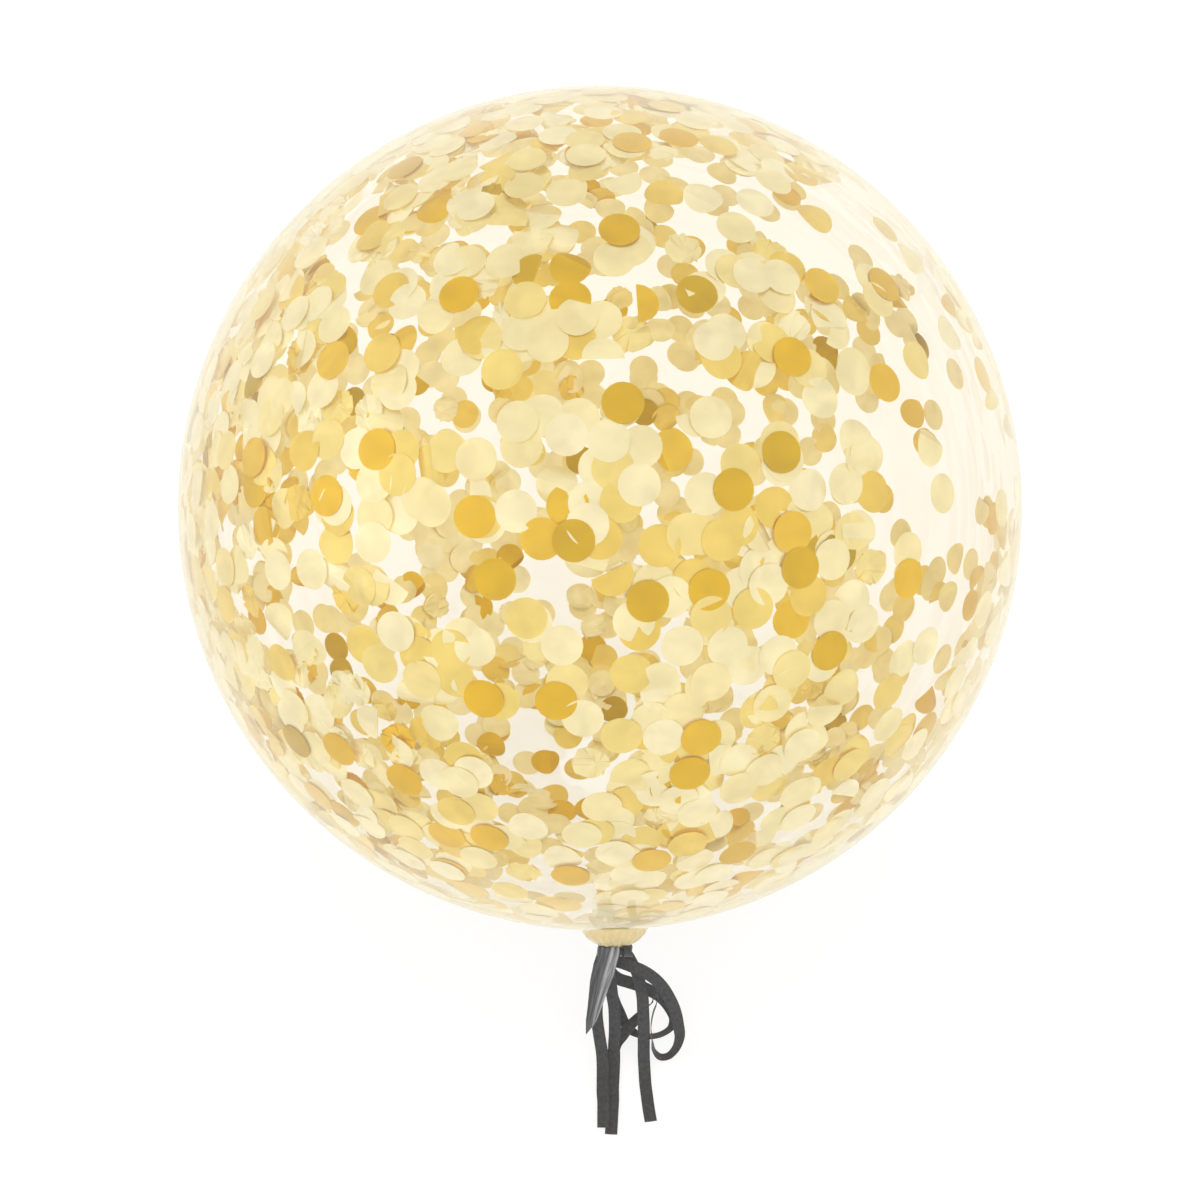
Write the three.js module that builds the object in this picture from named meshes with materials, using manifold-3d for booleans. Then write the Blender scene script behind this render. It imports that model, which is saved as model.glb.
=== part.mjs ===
// A clear bubble balloon, 60 cm across, lying on a small flat spot with its tied neck
// pointing forwards and down. Dark grey ribbons leave the tie and run out on the floor.
// Millimetres, +Z up, floor at z = 0, neck towards -Y.
import * as THREE from 'three';
import Module from 'manifold-3d';

const wasm = await Module();
wasm.setup();

// Driving dimensions
const bubbleRadius = 300;
const spotRadius = 35;            // flat spot that the balloon rests on
const neckDrop = 45;              // degrees that the neck points below level
const neckTurn = 2;               // degrees that the neck leans towards +X
const collarStart = 301;          // from the bubble's centre, along the neck
const collarEnd = 317.4;
const throatRadius = 11;
const throatEnd = 321.5;
const gatherCount = 16;           // folds where the film is drawn in
const gatherDepth = 0.045;        // of the radius
const sides = 64;                 // round the neck's axis
const rings = 36;                 // from the crown to the collar
const tieInner = 11.4;
const tieOuter = 13.4;
const tieTop = 318.2;
const tieBottom = 322.8;
const tieSides = 40;
const filmTailThickness = 1.2;    // the neck's end, flattened and folded along a crease
const filmTailFront = 6.4;        // how far the crease stands in front of the neck's axis
const leftLeafTilt = 11;          // degrees that each leaf leans back from the crease
const rightLeafTilt = -10;
const ribbonWidth = 9;
const ribbonThickness = 0.8;

const centreHeight = Math.sqrt(bubbleRadius ** 2 - spotRadius ** 2);

// The neck's own frame: x across it, y along it away from the bubble, z to its under side
function makeNeckFrame() {
  const drop = THREE.MathUtils.degToRad(neckDrop);
  const turn = THREE.MathUtils.degToRad(neckTurn);
  const straight = new THREE.Vector3(0, -Math.cos(drop), -Math.sin(drop));
  const level = new THREE.Vector3(1, 0, 0);
  const along = straight.clone().multiplyScalar(Math.cos(turn)).addScaledVector(level, Math.sin(turn));
  const across = level.clone().multiplyScalar(Math.cos(turn)).addScaledVector(straight, -Math.sin(turn));
  const under = new THREE.Vector3().crossVectors(across, along);
  return new THREE.Matrix4().makeBasis(across, along, under).setPosition(0, 0, centreHeight);
}

const neckFrame = makeNeckFrame();

// Manifold solids from three.js geometry and back
function toSolid(geometry) {
  const bare = new THREE.BufferGeometry();
  const shape = geometry.index ? geometry.toNonIndexed() : geometry;
  bare.setAttribute('position', shape.attributes.position);
  const merged = mergeByPlace(bare);
  return new wasm.Manifold(new wasm.Mesh({
    numProp: 3,
    vertProperties: new Float32Array(merged.attributes.position.array),
    triVerts: new Uint32Array(merged.index.array),
  }));
}

function mergeByPlace(geometry) {
  const grid = 1e4;
  const source = geometry.attributes.position;
  const places = new Map();
  const points = [];
  const corners = [];
  for (let i = 0; i < source.count; i += 1) {
    const point = [source.getX(i), source.getY(i), source.getZ(i)];
    const key = point.map((value) => Math.round(value * grid)).join(' ');
    if (!places.has(key)) {
      places.set(key, points.length / 3);
      points.push(...point);
    }
    corners.push(places.get(key));
  }
  const faces = [];
  for (let i = 0; i < corners.length; i += 3) {
    const [a, b, c] = corners.slice(i, i + 3);
    if (a !== b && b !== c && c !== a) {
      faces.push(a, b, c);
    }
  }
  const merged = new THREE.BufferGeometry();
  merged.setAttribute('position', new THREE.Float32BufferAttribute(points, 3));
  merged.setIndex(faces);
  return merged;
}

function toGeometry(solid) {
  const mesh = solid.getMesh();
  const geometry = new THREE.BufferGeometry();
  geometry.setAttribute('position', new THREE.Float32BufferAttribute(mesh.vertProperties, 3));
  geometry.setIndex(Array.from(mesh.triVerts));
  const loose = geometry.toNonIndexed();
  loose.computeVertexNormals();
  return loose;
}

// The bubble's outline from its crown, down its wall, over the gathered collar to the throat
function bubbleOutline() {
  const outline = [];
  const rimRadius = 33;
  const lastAngle = Math.acos(rimRadius / bubbleRadius);
  for (let i = 0; i <= rings; i += 1) {
    const angle = -Math.PI / 2 + (lastAngle + Math.PI / 2) * (i / rings);
    const radius = i === 0 ? 0 : bubbleRadius * Math.cos(angle);
    outline.push(new THREE.Vector2(radius, bubbleRadius * Math.sin(angle)));
  }
  const collar = new THREE.SplineCurve([
    new THREE.Vector2(rimRadius, bubbleRadius * Math.sin(lastAngle)),
    new THREE.Vector2(28, 300.4),
    new THREE.Vector2(25.2, 303.6),
    new THREE.Vector2(23.2, 307.6),
    new THREE.Vector2(20, 311.8),
    new THREE.Vector2(15.6, 315.4),
    new THREE.Vector2(throatRadius, collarEnd),
  ]);
  outline.push(...collar.getPoints(12).slice(1));
  outline.push(new THREE.Vector2(throatRadius, throatEnd));
  outline.push(new THREE.Vector2(0, throatEnd));
  return outline;
}

// Draws the film in to folds on the collar, fading out at the bubble and at the throat
function gatherCollar(geometry) {
  const place = geometry.attributes.position;
  for (let i = 0; i < place.count; i += 1) {
    const height = place.getY(i);
    if (height > collarStart && height < collarEnd) {
      const part = (height - collarStart) / (collarEnd - collarStart);
      const angle = Math.atan2(place.getZ(i), place.getX(i));
      const depth = gatherDepth * Math.sin(Math.PI * part);
      const scale = 1 - depth * (0.5 + 0.5 * Math.cos(gatherCount * angle));
      place.setX(i, place.getX(i) * scale);
      place.setZ(i, place.getZ(i) * scale);
    }
  }
  return geometry;
}

// One half of the flattened film tail: an outline in the neck's x and y, turned about the crease
function filmBlade(corners, tiltDegrees) {
  const creaseTop = new THREE.Vector3(-3.5, 319, 0);
  const creaseTip = new THREE.Vector3(-19.5, 377.5, 0);
  const outline = corners.map(([x, y]) => new THREE.Vector2(x, y));
  const blade = new THREE.ExtrudeGeometry(new THREE.Shape(outline), {
    depth: filmTailThickness,
    bevelEnabled: false,
  });
  const crease = creaseTip.clone().sub(creaseTop).normalize();
  blade.translate(-creaseTop.x, -creaseTop.y, 0);
  blade.applyMatrix4(new THREE.Matrix4().makeRotationAxis(crease, THREE.MathUtils.degToRad(tiltDegrees)));
  blade.translate(creaseTop.x, creaseTop.y, -filmTailFront);
  return blade.applyMatrix4(neckFrame);
}

function makeBalloon() {
  const bubble = gatherCollar(new THREE.LatheGeometry(bubbleOutline(), sides)).applyMatrix4(neckFrame);
  const leftBlade = filmBlade([
    [-3.2, 319],
    [-8.6, 319],
    [-8.8, 323.4],
    [-15.6, 329.6],
    [-19.3, 342.5],
    [-21.4, 359.5],
    [-23.3, 372],
    [-23.7, 382.5],
    [-19.2, 377.5],
  ], leftLeafTilt);
  const rightBlade = filmBlade([
    [-3.8, 319],
    [2.6, 319],
    [2.6, 323.4],
    [1, 328],
    [-1.5, 338.5],
    [-5.5, 347],
    [-10.4, 360],
    [-15.2, 371.5],
    [-19.2, 377.5],
    [-19.8, 377.5],
  ], rightLeafTilt);
  const below = new THREE.BoxGeometry(400, 400, 40).translate(0, 0, -20);
  return toSolid(bubble)
    .add(toSolid(leftBlade))
    .add(toSolid(rightBlade))
    .subtract(toSolid(below));
}

// The ribbon wound round the throat, with the knot that the loops and tails come out of
function makeTie() {
  const middle = (tieInner + tieOuter) / 2;
  const half = (tieOuter - tieInner) / 2;
  const band = new THREE.LatheGeometry([
    new THREE.Vector2(tieInner, tieTop + half),
    new THREE.Vector2(middle, tieTop),
    new THREE.Vector2(tieOuter, tieTop + half),
    new THREE.Vector2(tieOuter, tieBottom - half),
    new THREE.Vector2(middle, tieBottom),
    new THREE.Vector2(tieInner, tieBottom - half),
    new THREE.Vector2(tieInner, tieTop + half),
  ], tieSides);
  const knot = new THREE.SphereGeometry(1, 16, 10);
  knot.scale(6.5, 5, 5.5);
  knot.translate(-7, 327.4, 2.4);
  const bridge = new THREE.SphereGeometry(1, 12, 8);
  bridge.scale(3.3, 3, 4);
  bridge.translate(-10, 324.9, 1);
  return toSolid(band.applyMatrix4(neckFrame))
    .add(toSolid(knot.applyMatrix4(neckFrame)))
    .add(toSolid(bridge.applyMatrix4(neckFrame)));
}

// A ribbon's route. Each point is x, y, z and a roll in degrees: at roll 0 the ribbon's
// width lies level, and the roll turns it about its run.
class RibbonRoute extends THREE.CatmullRomCurve3 {
  constructor(stops) {
    super(stops.map(([x, y, z]) => new THREE.Vector3(x, y, z)));
    this.rolls = stops.map((stop) => stop[3]);
  }

  rollAt(t) {
    const place = t * (this.rolls.length - 1);
    const first = Math.min(Math.floor(place), this.rolls.length - 2);
    return THREE.MathUtils.lerp(this.rolls[first], this.rolls[first + 1], place - first);
  }

  computeFrenetFrames(steps) {
    const up = new THREE.Vector3(0, 0, 1);
    const tangents = [];
    const normals = [];
    const binormals = [];
    for (let i = 0; i <= steps; i += 1) {
      const t = this.getUtoTmapping(i / steps);
      const tangent = this.getTangent(t).normalize();
      const width = new THREE.Vector3().crossVectors(up, tangent).normalize();
      width.applyAxisAngle(tangent, THREE.MathUtils.degToRad(this.rollAt(t)));
      tangents.push(tangent);
      normals.push(width);
      binormals.push(new THREE.Vector3().crossVectors(tangent, width));
    }
    return { tangents, normals, binormals };
  }
}

// A flat ribbon's section: eight sides, thin at both edges
function ribbonSection() {
  const halfWidth = ribbonWidth / 2;
  const halfThickness = ribbonThickness / 2;
  const edge = 0.3;
  return new THREE.Shape([
    new THREE.Vector2(-halfWidth, -halfThickness + edge),
    new THREE.Vector2(-halfWidth + edge, -halfThickness),
    new THREE.Vector2(halfWidth - edge, -halfThickness),
    new THREE.Vector2(halfWidth, -halfThickness + edge),
    new THREE.Vector2(halfWidth, halfThickness - edge),
    new THREE.Vector2(halfWidth - edge, halfThickness),
    new THREE.Vector2(-halfWidth + edge, halfThickness),
    new THREE.Vector2(-halfWidth, halfThickness - edge),
  ]);
}

function makeRibbon(stops, steps) {
  return new THREE.ExtrudeGeometry(ribbonSection(), {
    steps,
    extrudePath: new RibbonRoute(stops),
  });
}

// Routes from the tie down to the floor, in millimetres and degrees
const ribbonRoutes = {
  ribbon_left_tail: {
    steps: 11,
    stops: [
      [1, -238, 63.5, 0], [0.4, -241.5, 58, 0], [-1, -246, 50.5, 0], [-2, -251.5, 41, 0],
      [-2.5, -257.5, 31.5, 0], [-1.5, -264, 23, 0], [0, -271, 16, 0], [1.5, -279, 11, 0],
      [2, -287.5, 7, 0], [2, -298, 5, 0], [2, -307.5, 4, 0], [2.5, -315, 4, 0],
      [2.5, -321.5, 4, 0], [2.5, -328, 4, 0], [2.5, -335, 4, 0],
    ],
  },
  ribbon_middle_tail: {
    steps: 11,
    stops: [
      [6.5, -236, 60, 0], [7, -239.5, 55, 0], [8, -243, 48.5, 0], [9, -247.5, 40.5, 0],
      [10.5, -252.5, 32, 0], [11, -258.5, 23, 0], [11, -265, 15, 0], [10.5, -272, 9, 0],
      [10.5, -281.5, 5, 0], [10, -293, 3, 0], [9.5, -303, 2.5, 0], [9.5, -312.5, 2.5, 0],
      [9, -321.5, 2.5, 0], [8.5, -330.5, 2.5, 0], [8, -339.5, 2.5, 0],
    ],
  },
  ribbon_right_tail: {
    steps: 11,
    stops: [
      [18.5, -227, 67.5, 0], [22, -230, 63, 0], [25, -233, 57, 0], [28, -237.5, 51.5, 0],
      [30, -243, 45, 0], [31.5, -249, 39, 0], [32, -255.5, 31, 0], [32.5, -263, 22, 0],
      [32.5, -270.5, 13.5, 0], [32.5, -279.5, 7, 0], [33, -289.5, 2.5, 0], [33.5, -299, 1, 0],
      [34.5, -308.5, 0.6, 0], [35.5, -318, 0.6, 0], [37, -328.5, 0.6, 0],
    ],
  },
  ribbon_outer_loop: {
    steps: 17,
    stops: [
      [12.5, -234.5, 66, 42], [17, -236, 66, 40], [23, -238, 65, 36], [30, -239, 61.5, 32],
      [38.5, -241.5, 56, 30], [45.5, -245, 49, 28], [51, -250, 41.5, 28], [55.5, -256, 33, 30],
      [58, -262.5, 24.5, 32], [59, -269, 17, 32], [56, -275, 10, 32], [50.5, -278.5, 5.5, 28],
      [44.5, -278.5, 4.5, 30], [40, -274.5, 7, 56], [38.5, -268, 13, 86], [38, -260.5, 19, 88],
      [39.5, -253.5, 25, 92], [42, -248, 29.5, 98], [43, -244.5, 32.5, 106],
    ],
  },
  ribbon_outer_end: {
    steps: 10,
    stops: [
      [39.5, -245, 30.5, 66], [38, -246.5, 27, 60], [35, -247.5, 22, 52], [31, -250.5, 18.5, 32],
      [26.5, -254.5, 16, 15], [21.5, -258.5, 13, 5], [16.5, -263.5, 8.5, 0], [12, -268, 5, 0],
      [9.5, -276, 2, 0], [9, -286.5, 0.7, 0], [9, -299, 0.6, 0],
    ],
  },
  ribbon_inner_loop: {
    steps: 20,
    stops: [
      [7, -234.5, 54, 26], [10, -236.5, 50, 30], [14.5, -237.5, 46, 32], [21, -237.5, 42, 30],
      [28.5, -237, 36.5, 28], [36.5, -236.5, 29, 28], [45, -237.5, 21.5, 30], [51.5, -241.5, 15, 32],
      [55.5, -248.5, 10.5, 36], [53.5, -255, 6.5, 38], [46.5, -259.5, 4.5, 36], [38.5, -261, 3.5, 34],
      [30.5, -260, 3.5, 30], [23.5, -256.5, 4, 22], [18.5, -251.5, 7, 14], [14.5, -246, 14, 8],
      [11, -242, 22.5, 4], [8, -238, 32, 0], [6.5, -234.5, 41.5, 0], [5, -232.5, 51, 0],
    ],
  },
};

const film = new THREE.MeshStandardMaterial({ color: '#f6ecca', roughness: 0.06, metalness: 0 });
const ribbonGrey = new THREE.MeshStandardMaterial({ color: '#504e50', roughness: 0.75, metalness: 0 });

const group = new THREE.Group();

function addPart(name, geometry, material) {
  const mesh = new THREE.Mesh(geometry, material.clone());
  mesh.name = name;
  group.add(mesh);
}

addPart('balloon', toGeometry(makeBalloon()), film);
addPart('tie', toGeometry(makeTie()), ribbonGrey);
for (const [name, { stops, steps }] of Object.entries(ribbonRoutes)) {
  addPart(name, makeRibbon(stops, steps), ribbonGrey);
}

export default group;
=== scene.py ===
import math
import random

import bmesh
import bpy
from mathutils import Matrix, Vector, kdtree, noise


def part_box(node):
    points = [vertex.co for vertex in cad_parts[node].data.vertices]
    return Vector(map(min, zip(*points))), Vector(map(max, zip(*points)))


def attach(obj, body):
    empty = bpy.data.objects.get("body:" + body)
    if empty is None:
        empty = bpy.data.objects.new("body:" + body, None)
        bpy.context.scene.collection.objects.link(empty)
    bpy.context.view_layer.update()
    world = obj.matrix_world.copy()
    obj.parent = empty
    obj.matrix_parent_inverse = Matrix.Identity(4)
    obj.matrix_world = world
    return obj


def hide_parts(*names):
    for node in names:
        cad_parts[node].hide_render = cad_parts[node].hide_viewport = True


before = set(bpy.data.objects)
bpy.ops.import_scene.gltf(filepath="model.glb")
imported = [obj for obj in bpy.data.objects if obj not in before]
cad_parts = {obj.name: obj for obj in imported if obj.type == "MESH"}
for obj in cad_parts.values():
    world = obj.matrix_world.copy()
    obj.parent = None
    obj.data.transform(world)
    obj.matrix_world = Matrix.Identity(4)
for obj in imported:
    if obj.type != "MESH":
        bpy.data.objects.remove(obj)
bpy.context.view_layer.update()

MM = 0.001

# ---------------------------------------------------------------- measures from the frame

balloon_low, balloon_high = (Vector(corner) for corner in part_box("balloon"))
BUBBLE = (balloon_high.x - balloon_low.x) / 2
CENTRE = Vector((0, 0, balloon_high.z - BUBBLE))
NECK_DROP = math.radians(45)
NECK_TURN = math.radians(2)
RIBBON_WIDTH = 9 * MM
RIBBON_THICKNESS = 0.32 * MM
RIB_PITCH = 1.2 * MM
FILM = 0.3 * MM
DISC = 12.5 * MM
DISC_WALL = 0.1 * MM
NECK_FOOT = 33 * MM
COLLAR_START = 299.5 * MM
COLLAR_FADE = 12 * MM
SKIN_STEPS = 192
LOOP_STEPS = 96

# ---------------------------------------------------------------- small helpers


def neck_frame():
    """x across the neck, y along it away from the bubble, z to its under side."""
    straight = Vector((0, -math.cos(NECK_DROP), -math.sin(NECK_DROP)))
    level = Vector((1, 0, 0))
    along = straight * math.cos(NECK_TURN) + level * math.sin(NECK_TURN)
    across = level * math.cos(NECK_TURN) - straight * math.sin(NECK_TURN)
    under = across.cross(along)
    turn = Matrix((across, along, under)).transposed().to_4x4()
    return Matrix.Translation(CENTRE) @ turn


NECK = neck_frame()


def add_piece(name, bm, material, slot, smooth=True):
    """Turns a bmesh into a piece that rides on the balloon's one body."""
    mesh = bpy.data.meshes.new(name)
    bm.to_mesh(mesh)
    bm.free()
    for face in mesh.polygons:
        face.use_smooth = smooth
    piece = bpy.data.objects.new(name, mesh)
    bpy.context.scene.collection.objects.link(piece)
    mesh.materials.append(material)
    piece.visible_glossy = slot in ("film", "confetti")
    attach(piece, "root")
    return piece


def add_wall(piece, thickness, offset=0.0):
    wall = piece.modifiers.new("wall", "SOLIDIFY")
    wall.thickness = thickness
    wall.offset = offset
    return wall


def between(low, high, part):
    return low + (high - low) * part


def ease(part):
    part = min(max(part, 0.0), 1.0)
    return part * part * (3 - 2 * part)


def follow(points, place):
    """Straight interpolation through (place, value) pairs."""
    for (start, low), (end, high) in zip(points, points[1:]):
        if place <= end:
            return between(low, high, (place - start) / (end - start))
    return points[-1][1]


# ---------------------------------------------------------------- node helpers


def new_material(name):
    material = bpy.data.materials.new(name)
    material.use_nodes = True
    nodes = material.node_tree.nodes
    links = material.node_tree.links
    return material, nodes, links, nodes["Principled BSDF"]


def add_node(nodes, kind, **settings):
    node = nodes.new(kind)
    for key, value in settings.items():
        if key in node.inputs:
            node.inputs[key].default_value = value
        else:
            setattr(node, key, value)
    return node


def set_shader(shader, **values):
    for key, value in values.items():
        shader.inputs[key.replace("_", " ")].default_value = value


def add_ramp(nodes, stops):
    ramp = nodes.new("ShaderNodeValToRGB")
    points = ramp.color_ramp.elements
    while len(points) < len(stops):
        points.new(0.5)
    for point, (place, colour) in zip(points, stops):
        point.position = place
        point.color = (*colour, 1)
    return ramp


# ---------------------------------------------------------------- camera


def make_camera():
    """Looks down on the balloon, square to the neck, with the ribbons below it."""
    distance = 4.6 * BUBBLE
    look_down = math.radians(45)
    aim_below = math.radians(2.65)
    data = bpy.data.cameras.new("camera")
    data.lens = 56.8
    data.sensor_width = 36
    data.clip_end = 60
    camera = bpy.data.objects.new("camera", data)
    back = Vector((0, -math.cos(look_down), math.sin(look_down)))
    camera.location = CENTRE + back * distance
    camera.rotation_euler = (math.pi / 2 - look_down - aim_below, 0, 0)
    bpy.context.scene.collection.objects.link(camera)
    bpy.context.scene.camera = camera


# ---------------------------------------------------------------- ribbons

# Each stop of a route is x, y, z in metres and a roll in degrees: at roll 0 the width of
# the ribbon lies level, and the roll turns it about its run.
LEFT_TAIL = [
    (0.0010, -0.2380, 0.0635, 0), (0.0004, -0.2415, 0.0580, 0), (-0.0010, -0.2460, 0.0505, 0),
    (-0.0020, -0.2515, 0.0410, 0), (-0.0025, -0.2575, 0.0315, 0), (-0.0015, -0.2640, 0.0230, 0),
    (0.0000, -0.2710, 0.0160, 0), (0.0015, -0.2790, 0.0110, 0), (0.0020, -0.2875, 0.0070, 0),
    (0.0020, -0.2980, 0.0050, 0), (0.0020, -0.3075, 0.0040, 0), (0.0025, -0.3150, 0.0040, 0),
    (0.0025, -0.3215, 0.0040, 0), (0.0025, -0.3280, 0.0040, 0), (0.0025, -0.3350, 0.0040, 0),
]
MIDDLE_TAIL = [
    (0.0065, -0.2360, 0.0600, 0), (0.0070, -0.2395, 0.0550, 0), (0.0080, -0.2430, 0.0485, 0),
    (0.0090, -0.2475, 0.0405, 0), (0.0105, -0.2525, 0.0320, 0), (0.0110, -0.2585, 0.0230, 0),
    (0.0110, -0.2650, 0.0150, 0), (0.0105, -0.2720, 0.0090, 0), (0.0105, -0.2815, 0.0050, 0),
    (0.0100, -0.2930, 0.0030, 0), (0.0095, -0.3030, 0.0025, 0), (0.0095, -0.3125, 0.0025, 0),
    (0.0090, -0.3215, 0.0025, 0), (0.0085, -0.3305, 0.0025, 0), (0.0080, -0.3395, 0.0025, 0),
]
RIGHT_TAIL = [
    (0.0185, -0.2270, 0.0675, 0), (0.0220, -0.2300, 0.0630, 0), (0.0250, -0.2330, 0.0570, 0),
    (0.0280, -0.2375, 0.0515, 0), (0.0300, -0.2430, 0.0450, 0), (0.0315, -0.2490, 0.0390, 0),
    (0.0320, -0.2555, 0.0310, 0), (0.0325, -0.2630, 0.0220, 0), (0.0325, -0.2705, 0.0135, 0),
    (0.0325, -0.2795, 0.0070, 0), (0.0330, -0.2895, 0.0025, 0), (0.0335, -0.2990, 0.0010, 0),
    (0.0345, -0.3085, 0.0006, 0), (0.0355, -0.3180, 0.0006, 0), (0.0370, -0.3285, 0.0006, 0),
]
OUTER_LOOP = [
    (0.0095, -0.2335, 0.0660, 44), (0.0125, -0.2345, 0.0660, 42), (0.0170, -0.2360, 0.0660, 40),
    (0.0230, -0.2380, 0.0650, 36), (0.0300, -0.2390, 0.0615, 32), (0.0385, -0.2415, 0.0560, 30),
    (0.0455, -0.2450, 0.0490, 28), (0.0510, -0.2500, 0.0415, 28), (0.0555, -0.2560, 0.0330, 30),
    (0.0580, -0.2625, 0.0245, 32), (0.0590, -0.2690, 0.0170, 32), (0.0560, -0.2750, 0.0100, 32),
    (0.0505, -0.2785, 0.0055, 28), (0.0445, -0.2785, 0.0045, 30), (0.0400, -0.2745, 0.0070, 56),
    (0.0385, -0.2680, 0.0130, 86), (0.0380, -0.2605, 0.0190, 88), (0.0395, -0.2535, 0.0250, 92),
    (0.0420, -0.2480, 0.0295, 98), (0.0430, -0.2445, 0.0325, 97), (0.0420, -0.2430, 0.0336, 82),
    (0.0406, -0.2435, 0.0326, 68), (0.0395, -0.2450, 0.0305, 66), (0.0380, -0.2465, 0.0270, 60),
    (0.0350, -0.2475, 0.0220, 52), (0.0310, -0.2505, 0.0185, 32), (0.0265, -0.2545, 0.0160, 15),
    (0.0215, -0.2585, 0.0130, 5), (0.0165, -0.2635, 0.0085, 0), (0.0120, -0.2680, 0.0050, 0),
    (0.0095, -0.2760, 0.0020, 0), (0.0090, -0.2865, 0.0007, 0), (0.0090, -0.2990, 0.0006, 0),
]
INNER_LOOP = [
    (0.0070, -0.2345, 0.0540, 26), (0.0100, -0.2365, 0.0500, 30), (0.0145, -0.2375, 0.0460, 32),
    (0.0210, -0.2375, 0.0420, 30), (0.0285, -0.2370, 0.0365, 28), (0.0365, -0.2365, 0.0290, 28),
    (0.0450, -0.2375, 0.0215, 30), (0.0515, -0.2415, 0.0150, 32), (0.0555, -0.2485, 0.0105, 36),
    (0.0535, -0.2550, 0.0065, 38), (0.0465, -0.2595, 0.0045, 36), (0.0385, -0.2610, 0.0035, 34),
    (0.0305, -0.2600, 0.0035, 30), (0.0235, -0.2565, 0.0040, 22), (0.0185, -0.2515, 0.0070, 14),
    (0.0145, -0.2460, 0.0140, 8), (0.0110, -0.2420, 0.0225, 4), (0.0080, -0.2380, 0.0320, 0),
    (0.0065, -0.2345, 0.0415, 0), (0.0050, -0.2325, 0.0510, 0),
]


def mix_knots(first, second, start, end, place):
    return first.lerp(second, (place - start) / (end - start))


def curve_through(stops, per_span=14):
    """A centripetal Catmull-Rom line through the stops, with the roll carried along."""
    points = [Vector(stop) for stop in stops]
    points = [2 * points[0] - points[1], *points, 2 * points[-1] - points[-2]]
    line = []
    for i in range(1, len(points) - 2):
        near = points[i - 1:i + 3]
        knots = [0.0]
        for first, second in zip(near, near[1:]):
            knots.append(knots[-1] + max((second.xyz - first.xyz).length ** 0.5, 1e-6))
        for step in range(per_span):
            place = between(knots[1], knots[2], step / per_span)
            outer = [mix_knots(near[j], near[j + 1], knots[j], knots[j + 1], place)
                     for j in range(3)]
            inner = [mix_knots(outer[j], outer[j + 1], knots[j], knots[j + 2], place)
                     for j in range(2)]
            line.append(mix_knots(inner[0], inner[1], knots[1], knots[2], place))
    line.append(points[-2])
    return line


def even_stations(line, spacing):
    """Stations at one spacing along a line: place, run, width direction, and distance."""
    lengths = [0.0]
    for first, second in zip(line, line[1:]):
        lengths.append(lengths[-1] + (second.xyz - first.xyz).length)
    count = max(2, round(lengths[-1] / spacing))
    stations = []
    at = 0
    for i in range(count + 1):
        want = lengths[-1] * i / count
        while at < len(lengths) - 2 and lengths[at + 1] < want:
            at += 1
        part = (want - lengths[at]) / (lengths[at + 1] - lengths[at])
        stations.append(line[at].lerp(line[at + 1], min(max(part, 0.0), 1.0)))
    frames = []
    for i, station in enumerate(stations):
        before = stations[max(i - 3, 0)].xyz
        after = stations[min(i + 3, count)].xyz
        run = (after - before).normalized()
        level = Vector((0, 0, 1)).cross(run).normalized()
        width = Matrix.Rotation(math.radians(station.w), 3, run) @ level
        frames.append((station.xyz, run, width, lengths[-1] * i / count))
    return frames, lengths[-1]


def lay_strip(bm, frames, width_at, cup=0.25 * MM, across=8):
    """A ribbed strip of ribbon along its frames, with its own UV map in millimetres."""
    rows = len(frames) - 1
    before = set(bm.verts)
    bmesh.ops.create_grid(bm, x_segments=across, y_segments=rows, size=0.5, calc_uvs=False)
    uv = bm.loops.layers.uv.get("UVMap") or bm.loops.layers.uv.new("UVMap")
    spot = {}
    for vert in bm.verts:
        if vert in before:
            continue
        row = round((vert.co.y + 0.5) * rows)
        side = vert.co.x
        place, run, width, distance = frames[row]
        rib = math.sin(2 * math.pi * distance / RIB_PITCH)
        edge = ease((0.5 - abs(side)) * 8)
        spread = width_at(row / rows) * (1 + 0.012 * rib)
        up = run.cross(width)
        lift = 0.05 * MM * rib * edge + cup * (4 * side * side - 0.5)
        vert.co = place + width * (side * spread) + up * lift
        spot[vert] = (side * RIBBON_WIDTH / MM, distance / MM)
    for face in bm.faces:
        for loop in face.loops:
            if loop.vert in spot:
                loop[uv].uv = spot[loop.vert]


def make_ribbon(name, stops, material, nodes):
    """A ribbed flat ribbon along its route, standing for the given CAD nodes."""
    frames, length = even_stations(curve_through(stops), RIB_PITCH / 4)
    bm = bmesh.new()
    lay_strip(bm, frames, lambda part: RIBBON_WIDTH)
    ribbon = add_piece(name, bm, material, "ribbon")
    add_wall(ribbon, RIBBON_THICKNESS)
    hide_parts(*nodes)


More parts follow.
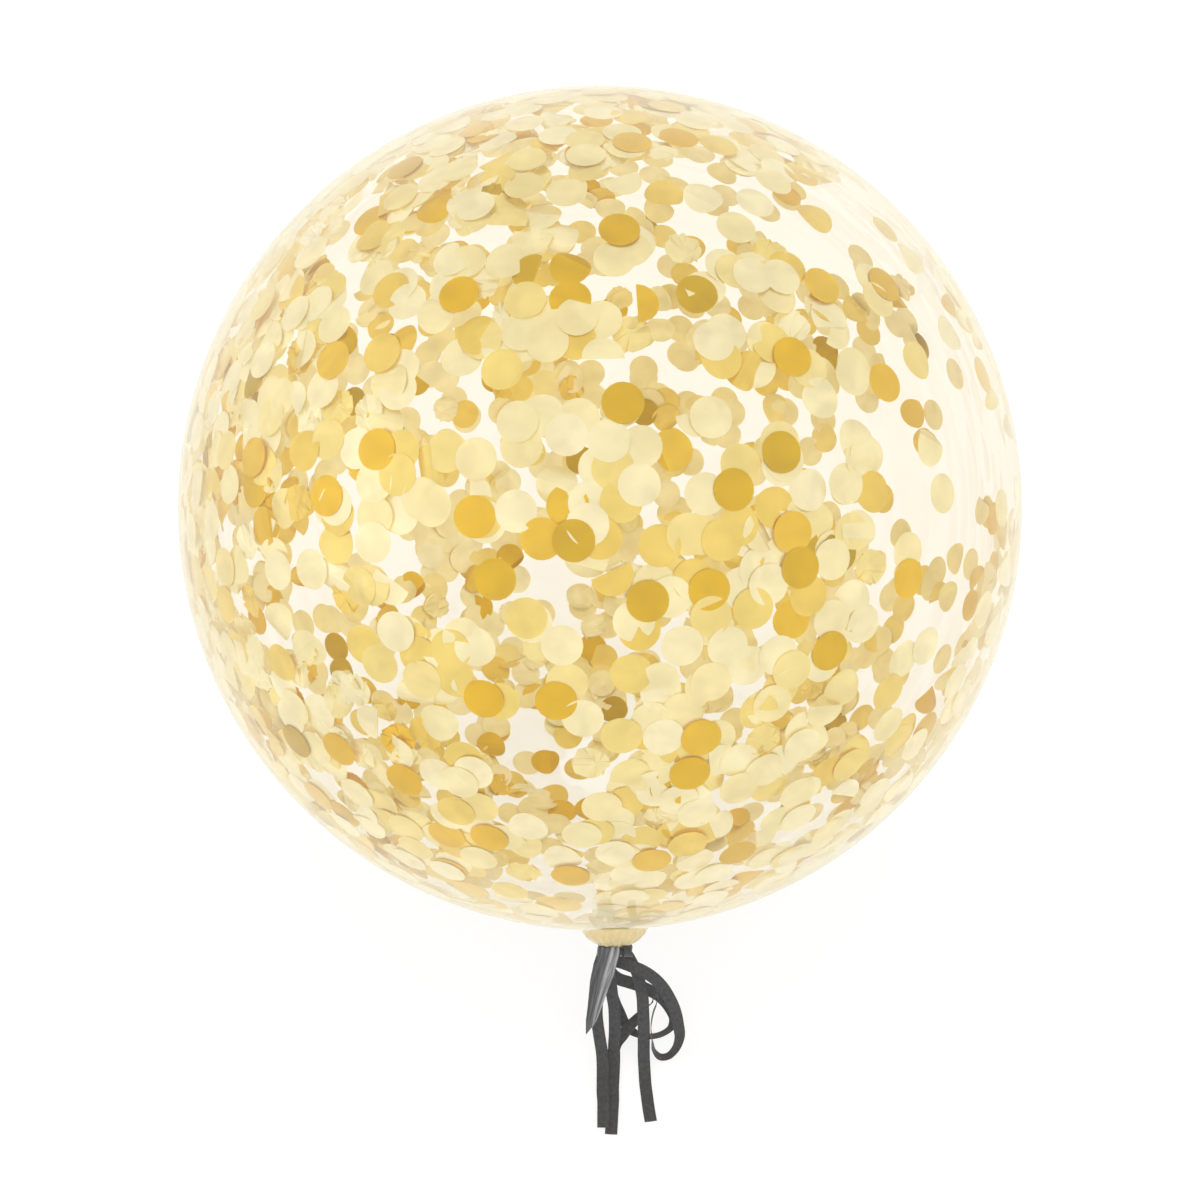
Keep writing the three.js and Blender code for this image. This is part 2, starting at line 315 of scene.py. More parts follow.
def ribbon_cloth():
    """Dark grey grosgrain: ribs across with painted shade in their grooves and painted light on
    their crests, fine threads along, a soft sheen.
    """
    material, nodes, links, shader = new_material("grosgrain ribbon")
    uv = add_node(nodes, "ShaderNodeUVMap", uv_map="UVMap")
    ribs = add_node(nodes, "ShaderNodeTexWave", wave_type="BANDS", bands_direction="Y",
                    wave_profile="SIN", Scale=0.834)
    ribs.inputs["Distortion"].default_value = 0.15
    links.new(uv.outputs[0], ribs.inputs["Vector"])
    threads = add_node(nodes, "ShaderNodeTexWave", wave_type="BANDS", bands_direction="X",
                       wave_profile="SIN", Scale=1.6)
    links.new(uv.outputs[0], threads.inputs["Vector"])
    patches = add_node(nodes, "ShaderNodeTexNoise", Scale=0.35, Detail=4)
    links.new(uv.outputs[0], patches.inputs["Vector"])
    grey = add_ramp(nodes, [(0.25, (0.042, 0.041, 0.043)), (0.75, (0.080, 0.078, 0.081))])
    links.new(patches.outputs["Fac"], grey.inputs["Fac"])
    shade = add_node(nodes, "ShaderNodeMix", data_type="RGBA", blend_type="MULTIPLY")
    shade.inputs["Factor"].default_value = 0.5
    # Painted shade in the grooves between the ribs, and painted light on their crests.
    painted_groove_shade = add_ramp(nodes, [(0.0, (0.45, 0.45, 0.45)), (0.6, (1.15, 1.15, 1.15))])
    links.new(ribs.outputs["Fac"], painted_groove_shade.inputs["Fac"])
    links.new(grey.outputs["Color"], shade.inputs["A"])
    links.new(painted_groove_shade.outputs["Color"], shade.inputs["B"])
    links.new(shade.outputs["Result"], shader.inputs["Base Color"])
    weave = add_node(nodes, "ShaderNodeMath", operation="MULTIPLY_ADD")
    weave.inputs[1].default_value = 0.25
    links.new(threads.outputs["Fac"], weave.inputs[0])
    links.new(ribs.outputs["Fac"], weave.inputs[2])
    bump = add_node(nodes, "ShaderNodeBump", Strength=0.5, Distance=0.1 * MM)
    links.new(weave.outputs[0], bump.inputs["Height"])
    links.new(bump.outputs[0], shader.inputs["Normal"])
    set_shader(shader, Roughness=0.72, Sheen_Weight=0.25, Sheen_Roughness=0.4)
    return material


def make_ribbons():
    cloth = ribbon_cloth()
    make_ribbon("ribbon_left", LEFT_TAIL, cloth, ["ribbon_left_tail"])
    make_ribbon("ribbon_middle", MIDDLE_TAIL, cloth, ["ribbon_middle_tail"])
    make_ribbon("ribbon_right", RIGHT_TAIL, cloth, ["ribbon_right_tail"])
    outer_nodes = ["ribbon_outer_loop", "ribbon_outer_end"]
    make_ribbon("ribbon_outer", OUTER_LOOP, cloth, outer_nodes)
    make_ribbon("ribbon_inner", INNER_LOOP, cloth, ["ribbon_inner_loop"])
    return cloth


# ---------------------------------------------------------------- tie and knot


def ring_frames(centre, first, second, radii, turns, pitch=0.0):
    """Frames of a strip wound round an oval, its width square to the oval's plane."""
    width = first.cross(second).normalized()
    count = round(turns * LOOP_STEPS)
    frames = []
    distance = 0.0
    last = None
    for i in range(count + 1):
        angle = 2 * math.pi * i / LOOP_STEPS
        grow = 1 + pitch * i / count
        place = centre + first * (math.cos(angle) * radii[0] * grow)
        place += second * (math.sin(angle) * radii[1] * grow)
        run = second * (math.cos(angle) * radii[1]) - first * (math.sin(angle) * radii[0])
        if last is not None:
            distance += (place - last).length
        last = place
        frames.append((place, run.normalized(), width, distance))
    return frames


def stub_frames(knot, start, toward, width):
    """Frames of a short strip from inside the knot to where a ribbon leaves it."""
    reach = start + toward * 0.6 * MM - knot
    count = max(4, round(reach.length / (RIB_PITCH / 4)))
    run = reach.normalized()
    level = (width - run * width.dot(run)).normalized()
    return [(knot + reach * (i / count), run, level, reach.length * i / count)
            for i in range(count + 1)]


def over_tie_frames():
    """The right tail's start: from under the collar, over the tie, to where the tail begins."""
    stops = [(7.0, 316.4, -10.6), (8.6, 318.2, -12.4), (9.0, 320.6, -12.9), (9.2, 323.2, -11.6),
             (9.0, 325.2, -7.5), (8.2, 325.4, -2.5), (7.4, 324.6, 1.4)]
    line = curve_through([(NECK @ (Vector(stop) * MM)).to_4d() for stop in stops])
    frames, _ = even_stations(line, RIB_PITCH / 4)
    out_way = NECK.to_3x3() @ Vector((1, 0.15, 0.62))
    return [(place, run, (out_way - run * out_way.dot(run)).normalized(), distance)
            for place, run, _, distance in frames]


def make_tie(cloth):
    """Ribbon wound three times round the throat and knotted under it."""
    bm = bmesh.new()
    x_way, y_way, z_way = (NECK.to_3x3() @ Vector(way)
                           for way in ((1, 0, 0), (0, 1, 0), (0, 0, 1)))
    wraps = ((319.0, 11.7, 0.02), (320.6, 12.2, -0.05), (322.0, 11.8, 0.04))
    for along, radius, lean in wraps:
        centre = NECK @ Vector((0, along * MM, 0))
        first = (x_way + y_way * lean).normalized()
        second = (z_way + y_way * lean * 0.5).normalized()
        frames = ring_frames(centre, first, second, (radius * MM, radius * MM), 1.04, 0.03)
        lay_strip(bm, frames, lambda part: 3.4 * MM, cup=-0.5 * MM, across=6)
    knot = NECK @ Vector((-7 * MM, 327.0 * MM, 2.4 * MM))
    loops = [
        (x_way, z_way, (6.4, 5.2), 6.0),
        ((x_way + y_way * 0.5).normalized(), z_way, (6.0, 5.6), 5.5),
        ((y_way + x_way * 0.25).normalized(), z_way, (5.2, 5.7), 6.5),
    ]
    for first, second, radii, width in loops:
        second = (second - first * second.dot(first)).normalized()
        frames = ring_frames(knot, first, second, (radii[0] * MM, radii[1] * MM), 1.02, 0.04)
        lay_strip(bm, frames, lambda part, width=width: width * MM, cup=-1.1 * MM, across=6)
    for stops in (LEFT_TAIL, MIDDLE_TAIL, OUTER_LOOP, INNER_LOOP):
        frames, _ = even_stations(curve_through(stops[:4]), RIB_PITCH / 4)
        place, run, width, _ = frames[0]
        stub = stub_frames(knot, place, run, width)
        lay_strip(bm, stub, lambda part: between(5.0, 9.0, ease(part)) * MM, cup=0.25 * MM)
    lay_strip(bm, over_tie_frames(), lambda part: between(5.5, 9.0, ease(part)) * MM)
    bmesh.ops.recalc_face_normals(bm, faces=bm.faces[:])
    bmesh.ops.solidify(bm, geom=bm.faces[:], thickness=RIBBON_THICKNESS)
    core = bmesh.ops.create_uvsphere(bm, u_segments=28, v_segments=16, radius=MM, calc_uvs=True)
    shape = Matrix.LocRotScale(knot, NECK.to_quaternion(), Vector((5.7, 4.7, 5.0)))
    bmesh.ops.transform(bm, matrix=shape, verts=core["verts"])
    tie = add_piece("tie", bm, cloth, "ribbon")
    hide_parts("tie")


# ---------------------------------------------------------------- film


def spin_profile(profile, steps):
    """A skin of revolution about the neck's axis, closed and with its faces outward."""
    bm = bmesh.new()
    verts = [bm.verts.new((out, along, 0)) for out, along in profile]
    edges = [bm.edges.new(pair) for pair in zip(verts, verts[1:])]
    bmesh.ops.spin(bm, geom=verts + edges, cent=(0, 0, 0), axis=(0, 1, 0), dvec=(0, 0, 0),
                   angle=2 * math.pi, steps=steps, use_merge=True, use_normal_flip=False,
                   use_duplicate=False)
    bmesh.ops.remove_doubles(bm, verts=bm.verts[:], dist=1e-6)
    bmesh.ops.recalc_face_normals(bm, faces=bm.faces[:])
    facing = 0.0
    for face in bm.faces:
        middle = face.calc_center_median()
        facing += face.normal.dot(Vector((middle.x, 0, middle.z))) * face.calc_area()
    if facing < 0:
        bmesh.ops.reverse_faces(bm, faces=bm.faces[:])
    return bm


def clear_film():
    """Thin clear film with a cream tint, and a golden sheen where it is seen edge on."""
    material, _, _, shader = new_material("clear bubble film")
    set_shader(shader, Base_Color=(0.977, 0.945, 0.870, 1), Roughness=0.0, IOR=1.33,
               Transmission_Weight=1.0, Sheen_Weight=0.4, Sheen_Roughness=0.25,
               Sheen_Tint=(0.95, 0.82, 0.28, 1))
    return material


def collar_film():
    """The same film bunched many layers thick, so that it is milky and golden."""
    material, nodes, links, shader = new_material("gathered film")
    place = add_node(nodes, "ShaderNodeTexCoord")
    creases = add_node(nodes, "ShaderNodeTexNoise", Scale=260, Detail=3)
    links.new(place.outputs["Object"], creases.inputs["Vector"])
    bump = add_node(nodes, "ShaderNodeBump", Strength=0.35, Distance=0.6 * MM)
    links.new(creases.outputs["Fac"], bump.inputs["Height"])
    links.new(bump.outputs[0], shader.inputs["Normal"])
    set_shader(shader, Base_Color=(0.98, 0.88, 0.60, 1), Roughness=0.22, IOR=1.45,
               Transmission_Weight=0.6)
    return material


def gather(angle):
    """How far a pleat of the neck stands out or in, from -1 to 1, round the neck."""
    wide = math.cos(13 * angle + 0.9 * math.sin(2 * angle))
    fine = math.cos(29 * angle + 1.3 * math.sin(3 * angle) + 0.7)
    return 0.62 * wide + 0.38 * fine


def pleat_neck(bm, depth):
    """Pleats the skin beyond the foot of the neck, deeper towards the throat."""
    for vert in bm.verts:
        if vert.co.y > COLLAR_START:
            swell = depth * ease((vert.co.y - COLLAR_START) / COLLAR_FADE)
            swell = 1 + swell * gather(math.atan2(vert.co.z, vert.co.x))
            vert.co.x *= swell
            vert.co.z *= swell


def collar_line(inset):
    """The neck from its foot to inside the tie, drawn in by an inset."""
    outline = [(30.6, 299.4), (28, 300.8), (25.2, 303.6), (23.2, 307.6), (20, 311.8),
               (15.6, 315.4), (11.4, 317.6), (10.6, 320), (10.6, 323.5)]
    stops = [Vector(((out - inset) * MM, along * MM, 0, 0)) for out, along in outline]
    return [(place.x, place.y) for place in curve_through(stops, 4)]


def make_bubble():
    """The blown film, drawn in to the pleated neck, and flat where it rests."""
    rings = 96
    foot = math.asin(NECK_FOOT / BUBBLE)
    profile = []
    for i in range(rings + 1):
        angle = between(math.pi, foot, i / rings)
        profile.append((BUBBLE * max(math.sin(angle), 0.0), BUBBLE * math.cos(angle)))
    bm = spin_profile(profile + collar_line(0), SKIN_STEPS)
    pleat_neck(bm, 0.05)
    bmesh.ops.transform(bm, matrix=NECK, verts=bm.verts[:])
    for vert in bm.verts:
        vert.co.z = max(vert.co.z, 0.0)
    film = add_piece("bubble_film", bm, clear_film(), "film")
    add_wall(film, FILM, -1)
    film.visible_shadow = False
    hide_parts("balloon")


def make_collar():
    """The bunched layers of film inside the neck, milky and golden where they lie together."""
    bm = spin_profile(collar_line(0.9), SKIN_STEPS)
    pleat_neck(bm, 0.09)
    bmesh.ops.transform(bm, matrix=NECK, verts=bm.verts[:])
    collar = add_piece("neck_gathers", bm, collar_film(), "film")
    add_wall(collar, 0.4 * MM, -1)
    collar.visible_shadow = False
    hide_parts("balloon")


# ---------------------------------------------------------------- film tail

# The tail hangs from the tie as two leaves that meet at a crease. Each edge is given as
# its place across the neck for a place along it, in millimetres.
TAIL_LEFT = [(316, -12.2), (319, -12.9), (323.4, -13.6), (329.6, -16.2), (342.5, -19.3),
             (359.5, -21.4), (372, -23.3), (382.5, -23.7)]
TAIL_CREASE = [(316, -2.6), (319, -3.2), (340, -9.6), (356, -14.6), (377.5, -19.5)]
TAIL_RIGHT = [(316, 3.4), (319, 3.2), (323.4, 2.4), (328, 1.0), (338.5, -1.5), (347, -5.5),
              (360, -10.4), (371.5, -15.2), (377.5, -19.2)]
# How far its crease stands toward the viewer at a place along it.
TAIL_FRONT = [(316, 12.6), (317.6, 14.3), (322, 14.6), (327, 13.2), (336, 10.4), (352, 8.2),
              (383, 6.8)]
# Its top bends round the front of the tie, and straightens over the fade.
TAIL_ROUND = 14.6
TAIL_ROUND_REACH = 13.8
TAIL_ROUND_END = 322
TAIL_ROUND_FADE = 12
TAIL_LEAN = math.radians(16)
TAIL_START = 316
TAIL_LEFT_END = 382.5
TAIL_CREASE_END = 377.3


def make_film_tail():
    """The loose end of the film beyond the tie: two glossy leaves either side of a crease."""
    across, rows = 24, 80
    bm = bmesh.new()
    bmesh.ops.create_grid(bm, x_segments=across, y_segments=rows, size=1, calc_uvs=False)
    uv = bm.loops.layers.uv.new("UVMap")
    spot = {}
    for vert in bm.verts:
        side, down = vert.co.x, (vert.co.y + 1) / 2
        finish = between(TAIL_CREASE_END, TAIL_LEFT_END, max(-side, 0.0))
        along = between(TAIL_START, finish, down)
        crease = follow(TAIL_CREASE, along)
        edge = follow(TAIL_LEFT if side < 0 else TAIL_RIGHT, along)
        out = between(crease, edge, abs(side))
        fall = math.tan(TAIL_LEAN) * abs(out - crease)
        round_tie = 1 - ease((along - TAIL_ROUND_END) / TAIL_ROUND_FADE)
        reach = min(abs(out), TAIL_ROUND_REACH)
        fall = between(fall, TAIL_ROUND - math.sqrt(TAIL_ROUND ** 2 - reach ** 2), round_tie)
        pleat = 0.35 * round_tie * math.cos(3.6 * side * math.pi)
        wrinkle = 0.5 * math.sin(0.33 * along + 2.2 * side) * abs(side)
        wrinkle += 0.3 * math.sin(0.9 * along - 5 * side) * side * side
        curl = 0.9 * ease((abs(side) - 0.6) / 0.4) * math.sin(0.12 * along + 0.8)
        under = fall - follow(TAIL_FRONT, along) + pleat + (wrinkle + curl) * (1 - round_tie)
        vert.co = NECK @ Vector((out * MM, along * MM, under * MM))
        spot[vert] = ((side + 1) / 2, down)
    for face in bm.faces:
        for loop in face.loops:
            loop[uv].uv = spot[loop.vert]
    bmesh.ops.recalc_face_normals(bm, faces=bm.faces[:])
    tail = add_piece("film_tail", bm, smoky_film(), "film_tail")
    add_wall(tail, 0.35 * MM)
    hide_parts("balloon")


def smoky_film():
    """Grey glossy film with painted light and shade: mottled painted shade on the left half, a
    painted highlight along the crease, paler painted light on the right half, and painted
    streaks of highlight and shade along its length.
    """
    material, nodes, links, shader = new_material("smoky film")
    uv = add_node(nodes, "ShaderNodeUVMap", uv_map="UVMap")
    parts = add_node(nodes, "ShaderNodeSeparateXYZ")
    links.new(uv.outputs[0], parts.inputs[0])
    # Across the tail, left to right: painted shade on the left half, a painted highlight just
    # past the crease, painted light on the right half.
    painted_side_light = add_ramp(nodes, [(0.0, (0.072, 0.073, 0.076)), (0.46, (0.090, 0.091, 0.094)),
                            (0.53, (0.32, 0.32, 0.325)), (0.75, (0.19, 0.19, 0.195)),
                            (1.0, (0.26, 0.26, 0.265))])
    links.new(parts.outputs["X"], painted_side_light.inputs["Fac"])
    stretch = add_node(nodes, "ShaderNodeMapping")
    stretch.inputs["Scale"].default_value = (9, 2.2, 1)
    links.new(uv.outputs[0], stretch.inputs["Vector"])
    # Streaks stretched along the tail: through the ramp below they are painted highlights and
    # painted shade, and they also drive the bump.
    painted_streaks_and_bump = add_node(nodes, "ShaderNodeTexNoise", Scale=1.0, Detail=3, Distortion=0.6)
    links.new(stretch.outputs[0], painted_streaks_and_bump.inputs["Vector"])
    shade = add_ramp(nodes, [(0.35, (0.35, 0.35, 0.36)), (0.5, (0.9, 0.9, 0.9)),
                             (0.68, (1.7, 1.7, 1.7))])
    links.new(painted_streaks_and_bump.outputs["Fac"], shade.inputs["Fac"])
    mix = add_node(nodes, "ShaderNodeMix", data_type="RGBA", blend_type="MULTIPLY")
    mix.inputs["Factor"].default_value = 0.85
    links.new(painted_side_light.outputs["Color"], mix.inputs["A"])
    links.new(shade.outputs["Color"], mix.inputs["B"])
    links.new(mix.outputs["Result"], shader.inputs["Base Color"])
    bump = add_node(nodes, "ShaderNodeBump", Strength=0.3, Distance=0.4 * MM)
    links.new(painted_streaks_and_bump.outputs["Fac"], bump.inputs["Height"])
    links.new(bump.outputs[0], shader.inputs["Normal"])
    set_shader(shader, Roughness=0.24, IOR=1.5)
    return material


# ---------------------------------------------------------------- confetti

# Places on the bubble are a longitude and a height in degrees, about the neck's axis: the
# neck is at height -90, longitude 0 is the upper front, and longitudes grow to the right.
DEEP_DISCS = [
    (-33, 3), (-14, 0), (-12, -7), (-15, -21), (24, 17), (21, 6), (11, -32), (5, -10), (4, 34),
    (-46, 8), (-17, 26), (-20, -42), (3, 12), (39, -9), (28, -17), (12, -9), (-26, 8), (23, -7),
    (7, -47), (23, -47), (12, -27), (22, -3), (37, 14), (15, 2), (-3, -3), (0, -73), (-8, -50),
]
# Thin patches are longitude, height, radius in degrees, and the share of discs left there.
THIN_PATCHES = [
    (15, 38, 8, 0.25), (152, 55, 12, 0.35), (33, 37, 10, 0.3), (123, 49, 16, 0.3),
    (60, 35, 20, 0.12), (90, 38, 22, 0.15), (45, 7, 16, 0.3), (115, 9, 22, 0.35),
    (60, 8, 16, 0.2), (88, 12, 20, 0.25), (52, -15, 16, 0.4), (105, -18, 18, 0.4),
    (1, 24, 5, 0.3), (178, 37, 8, 0.4), (27, 4, 6, 0.4), (-6, -7, 5, 0.3), (-170, -11, 8, 0.35),
    (19, 9, 5, 0.4), (-15, 13, 6, 0.3), (-157, 20, 9, 0.4), (70, -35, 20, 0.45),
]
# Thick and crushed patches are longitude, height and radius in degrees.
THICK_PATCHES = [(-20, 45, 26), (-50, 20, 30), (0, -58, 26), (-40, -40, 22), (10, -20, 14),
                 (-150, 30, 30), (180, -40, 30), (20, 62, 22)]
CRUSHED_PATCHES = [(-26, 34, 22), (-48, 6, 24), (-40, -22, 18), (14, -34, 9)]
DISC_COUNT = 2350
DISC_SIDES = 20
# Discs that overlap lie in layers this far apart, the outermost this far inside the film.
LAYER = 0.34 * MM
FIRST_LAYER = 0.55 * MM
# Where the tones change from pale to gold, and from gold to deep.
PALE_TONES = 0.32
GOLD_TONES = 0.68
NECK_CLEAR = 7.5


def direction(longitude, height):
    """The way from the bubble's centre to a place on its skin."""
    turn, rise = math.radians(longitude), math.radians(height)
    level = math.cos(rise)
    local = Vector((math.sin(turn) * level, -math.sin(rise), -math.cos(turn) * level))
    return NECK.to_3x3() @ local


def cut_disc(places):
    """A punched disc in the xy plane, cut into strips at the given places."""
    bm = bmesh.new()
    bmesh.ops.create_circle(bm, cap_ends=True, cap_tris=False, segments=DISC_SIDES, radius=DISC)
    for place, turn in places:
        way = (math.cos(math.radians(turn)), math.sin(math.radians(turn)), 0)
        geom = bm.verts[:] + bm.edges[:] + bm.faces[:]
        bmesh.ops.bisect_plane(bm, geom=geom, plane_co=Vector(way) * place * DISC, plane_no=way,
                               dist=1e-6)
    return bm


def finish_disc(bm, name):
    mesh = bpy.data.meshes.new(name)
    bm.to_mesh(mesh)
    bm.free()
    return mesh


def bent_disc(lift):
    """A disc whose two sides lift off the film."""
    bm = cut_disc([(-0.62, 0), (-0.2, 0), (0.2, 0), (0.62, 0)])
    for vert in bm.verts:
        vert.co.z = lift * MM * (vert.co.x / DISC) ** 2
    return finish_disc(bm, "bent")


def curled_disc(sweep):
    """A disc rolled like a shaving, through the given angle."""
    bm = cut_disc([(place, 0) for place in (-0.75, -0.5, -0.25, 0, 0.25, 0.5, 0.75)])
    radius = 2 * DISC / math.radians(sweep)
    for vert in bm.verts:
        angle = vert.co.x / radius
        vert.co.x = radius * math.sin(angle)
        vert.co.z = radius * (1 - math.cos(angle))
    return finish_disc(bm, "curled")


def creased_disc(place, fold):
    """A disc with one part folded up along a crease."""
    bm = cut_disc([(place, 0), ((place - 1) / 2, 0), ((place + 1) / 2, 0)])
    fold = math.radians(fold)
    for vert in bm.verts:
        past = vert.co.x - place * DISC
        if past > 0:
            vert.co.x = place * DISC + past * math.cos(fold)
            vert.co.z = past * math.sin(fold) + 0.15 * MM
        else:
            vert.co.z = 0.7 * MM * (past / DISC) ** 2
    return finish_disc(bm, "creased")


def crinkled_disc(rng):
    """A disc that was crushed: creases across it every way, each corner a little off."""
    cuts = [(rng.uniform(-0.6, 0.6), rng.uniform(0, 180)) for _ in range(5)]
    bm = cut_disc(cuts)
    for vert in bm.verts:
        vert.co.x *= rng.uniform(0.82, 0.98)
        vert.co.y *= rng.uniform(0.82, 0.98)
        vert.co.z = rng.uniform(0, 2.6) * MM
    return finish_disc(bm, "crinkled")


def disc_kinds(rng):
    """Each kind of disc: its share of the whole and of a crushed patch, how far it may tilt,
    and its shapes."""
    flat = finish_disc(cut_disc([]), "flat")
    folds = ((0.1, 14), (-0.2, 22), (0.35, 35), (0.5, 60), (0.0, 9), (0.25, 120))
    halves = ((0.05, 168), (0.2, 165))
    return [
        (0.52, 0.28, 0.6, [flat]),
        (0.20, 0.16, 1.5, [bent_disc(lift) for lift in (0.8, 1.6, 2.6)]),
        (0.12, 0.16, 2.5, [creased_disc(place, fold) for place, fold in folds]),
        (0.05, 0.06, 2.0, [creased_disc(place, fold) for place, fold in halves]),
        (0.07, 0.14, 5.0, [curled_disc(sweep) for sweep in (60, 85, 115, 150)]),
        (0.04, 0.20, 6.0, [crinkled_disc(rng) for _ in range(10)]),
    ]


def disc_share(way, thin, thick):
    """How likely a disc is to cling at this place, from 0 to 1."""
    share = 0.62 + 0.5 * noise.noise(way * 3.1 + Vector((4.2, 1.7, 8.3)))
    for centre, radius, left in thin:
        away = math.degrees(way.angle(centre))
        share *= between(left, 1.0, ease((away - radius * 0.55) / (radius * 0.6)))
    for centre, radius in thick:
        away = math.degrees(way.angle(centre))
        share += 0.45 * (1 - ease(away / radius))
    neck = math.degrees(way.angle(direction(0, -90)))
    return 0.0 if neck < NECK_CLEAR else share


def tone_of(rng):
    """0 is the palest gold and 1 the deepest."""
    pick = rng.random()
    if pick < 0.62:
        return rng.uniform(0.0, 0.3)
    if pick < 0.92:
        return rng.uniform(0.35, 0.65)
    if pick < 0.985:
        return rng.uniform(0.7, 0.88)
    return rng.uniform(0.92, 1.0)


def choose_places(rng):
    """The way and tone of every disc: the known deep ones first, then the rest at random."""
    places = [(direction(*spot), rng.uniform(0.74, 0.9), True) for spot in DEEP_DISCS]
    thin = [(direction(turn, rise), radius, left) for turn, rise, radius, left in THIN_PATCHES]
    thick = [(direction(turn, rise), radius) for turn, rise, radius in THICK_PATCHES]
    while len(places) < DISC_COUNT:
        way = Vector([rng.gauss(0, 1) for _ in range(3)]).normalized()
        if rng.random() < disc_share(way, thin, thick):
            places.append((way, tone_of(rng), False))
    return places


def layer_discs(places):
    """A layer for each disc, so that no two that overlap share one."""
    tree = kdtree.KDTree(len(places))
    for i, (way, _, _) in enumerate(places):
        tree.insert(way * BUBBLE, i)
    tree.balance()
    layers = []
    for i, (way, _, _) in enumerate(places):
        near = tree.find_range(way * BUBBLE, 2 * DISC)
        taken = {layers[j] for _, j, _ in near if j < i}
        layers.append(next(layer for layer in range(len(places)) if layer not in taken))
    return layers


def heap_name(tone):
    """The piece that a disc of this tone belongs to."""
    if tone < PALE_TONES:
        return "confetti_pale"
    return "confetti_gold" if tone < GOLD_TONES else "confetti_deep"


def make_confetti():
    """Every disc against the inside of the film, in three pieces by tone."""
    rng = random.Random(7)
    kinds = disc_kinds(rng)
    places = choose_places(rng)
    layers = layer_discs(places)
    patches = [(direction(turn, rise), radius) for turn, rise, radius in CRUSHED_PATCHES]
    foil = gold_foil()
    heaps = {"confetti_pale": (bmesh.new(), []), "confetti_gold": (bmesh.new(), []),
             "confetti_deep": (bmesh.new(), [])}
    for (way, tone, known), layer in zip(places, layers):
        crushed = any(math.degrees(way.angle(centre)) < radius for centre, radius in patches)
        shares = [kind[1] if crushed else kind[0] for kind in kinds]
        _, _, tilt, shapes = kinds[0] if known else rng.choices(kinds, shares)[0]
        shape = rng.choice(shapes).copy()
        leans = [math.radians(rng.gauss(0, tilt)) for _ in range(2)]
        lowered = DISC * sum(abs(lean) for lean in leans)
        depth = BUBBLE - FILM - FIRST_LAYER - layer * LAYER - lowered
        turn = way.to_track_quat("-Z", "Y").to_matrix()
        turn @= Matrix.Rotation(leans[0], 3, "X") @ Matrix.Rotation(leans[1], 3, "Y")
        turn @= Matrix.Rotation(rng.uniform(0, 2 * math.pi), 3, "Z")
        shape.transform(Matrix.Translation(CENTRE + way * depth) @ turn.to_4x4())
        rest = FILM + 0.3 * MM + layer * LAYER
        for vert in shape.vertices:
            vert.co.z = max(vert.co.z, rest)
        heap, tones = heaps[heap_name(tone)]
        heap.from_mesh(shape)
        tones.extend([tone] * len(shape.polygons))
        bpy.data.meshes.remove(shape)
    for name, (heap, tones) in heaps.items():
        piece = add_piece(name, heap, foil, "confetti", smooth=False)
        values = piece.data.attributes.new("tone", "FLOAT", "FACE")
        values.data.foreach_set("value", tones)
        add_wall(piece, DISC_WALL)
        piece.visible_shadow = False
    for *_, shapes in kinds:
        for shape in shapes:
            bpy.data.meshes.remove(shape)


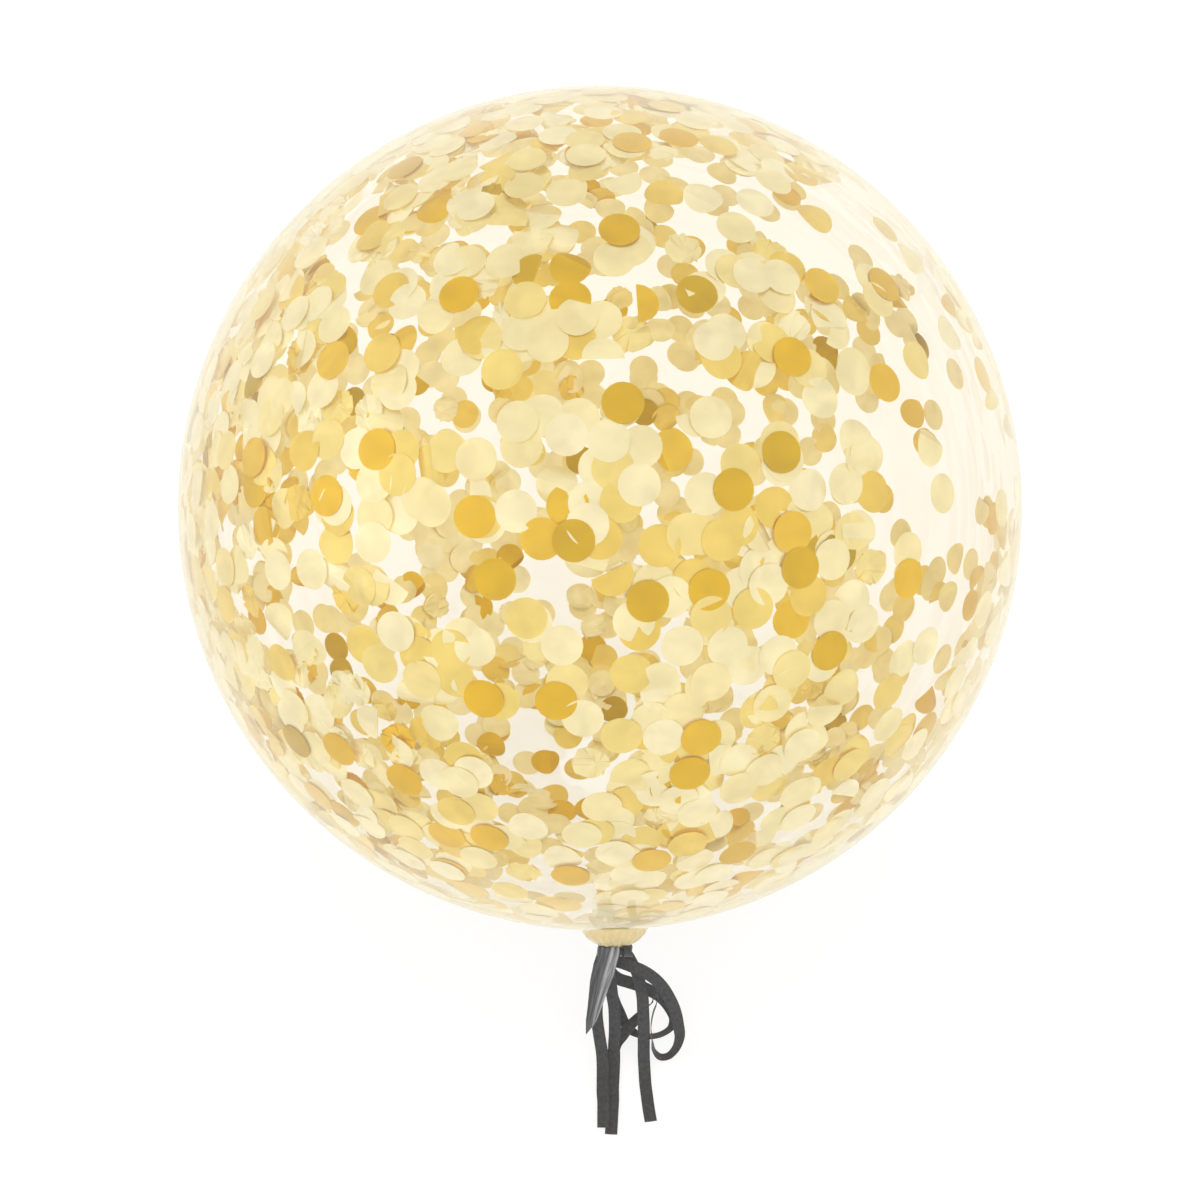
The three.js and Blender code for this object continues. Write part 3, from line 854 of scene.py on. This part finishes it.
def gold_foil():
    """Punched gold foil: a tone for each disc, fine rolling streaks and small dents."""
    material, nodes, links, shader = new_material("gold foil")
    tone = add_node(nodes, "ShaderNodeAttribute", attribute_name="tone")
    gold = add_ramp(nodes, [(0.0, (0.98, 0.93, 0.68)), (0.3, (0.95, 0.86, 0.50)),
                            (0.5, (0.91, 0.75, 0.25)), (0.8, (0.84, 0.55, 0.015)),
                            (1.0, (0.52, 0.36, 0.01))])
    links.new(tone.outputs["Fac"], gold.inputs["Fac"])
    place = add_node(nodes, "ShaderNodeTexCoord")
    clouds = add_node(nodes, "ShaderNodeTexNoise", Scale=55, Detail=4, Distortion=0.4)
    links.new(place.outputs["Object"], clouds.inputs["Vector"])
    shade = add_ramp(nodes, [(0.3, (0.90, 0.88, 0.84)), (0.7, (1.06, 1.06, 1.05))])
    links.new(clouds.outputs["Fac"], shade.inputs["Fac"])
    mix = add_node(nodes, "ShaderNodeMix", data_type="RGBA", blend_type="MULTIPLY")
    mix.inputs["Factor"].default_value = 1.0
    links.new(gold.outputs["Color"], mix.inputs["A"])
    links.new(shade.outputs["Color"], mix.inputs["B"])
    links.new(mix.outputs["Result"], shader.inputs["Base Color"])
    dents = add_node(nodes, "ShaderNodeTexNoise", Scale=130, Detail=2)
    links.new(place.outputs["Object"], dents.inputs["Vector"])
    bump = add_node(nodes, "ShaderNodeBump", Strength=0.12, Distance=1.0 * MM)
    links.new(dents.outputs["Fac"], bump.inputs["Height"])
    links.new(bump.outputs[0], shader.inputs["Normal"])
    set_shader(shader, Metallic=0.6, Roughness=0.42)
    return material


# ---------------------------------------------------------------- stage and light


def make_stage():
    bm = bmesh.new()
    bmesh.ops.create_grid(bm, x_segments=1, y_segments=1, size=9)
    mesh = bpy.data.meshes.new("floor")
    bm.to_mesh(mesh)
    bm.free()
    floor = bpy.data.objects.new("floor", mesh)
    bpy.context.scene.collection.objects.link(floor)
    material, _, _, shader = new_material("white light table")
    set_shader(shader, Base_Color=(0.2, 0.2, 0.2, 1), Roughness=0.9,
               Emission_Color=(1, 1, 1, 1), Emission_Strength=0.82)
    mesh.materials.append(material)


def add_lamp(name, place, aim, size, power):
    data = bpy.data.lights.new(name, "AREA")
    data.shape = "RECTANGLE"
    data.size, data.size_y = size
    data.energy = power
    lamp = bpy.data.objects.new(name, data)
    lamp.location = place
    lamp.rotation_euler = (aim - place).to_track_quat("-Z", "Y").to_euler()
    bpy.context.scene.collection.objects.link(lamp)


def make_lights():
    world = bpy.data.worlds.new("studio")
    world.use_nodes = True
    world.node_tree.nodes["Background"].inputs["Color"].default_value = (1, 1, 1, 1)
    world.node_tree.nodes["Background"].inputs["Strength"].default_value = 1.2
    bpy.context.scene.world = world
    add_lamp("left softbox", Vector((-2.1, -0.9, 1.5)), CENTRE, (2.2, 2.4), 3)
    bpy.context.scene.view_settings.view_transform = "Standard"


# ---------------------------------------------------------------- the whole


make_camera()
cloth = make_ribbons()
make_tie(cloth)
make_bubble()
make_collar()
make_film_tail()
make_confetti()
make_stage()
make_lights()
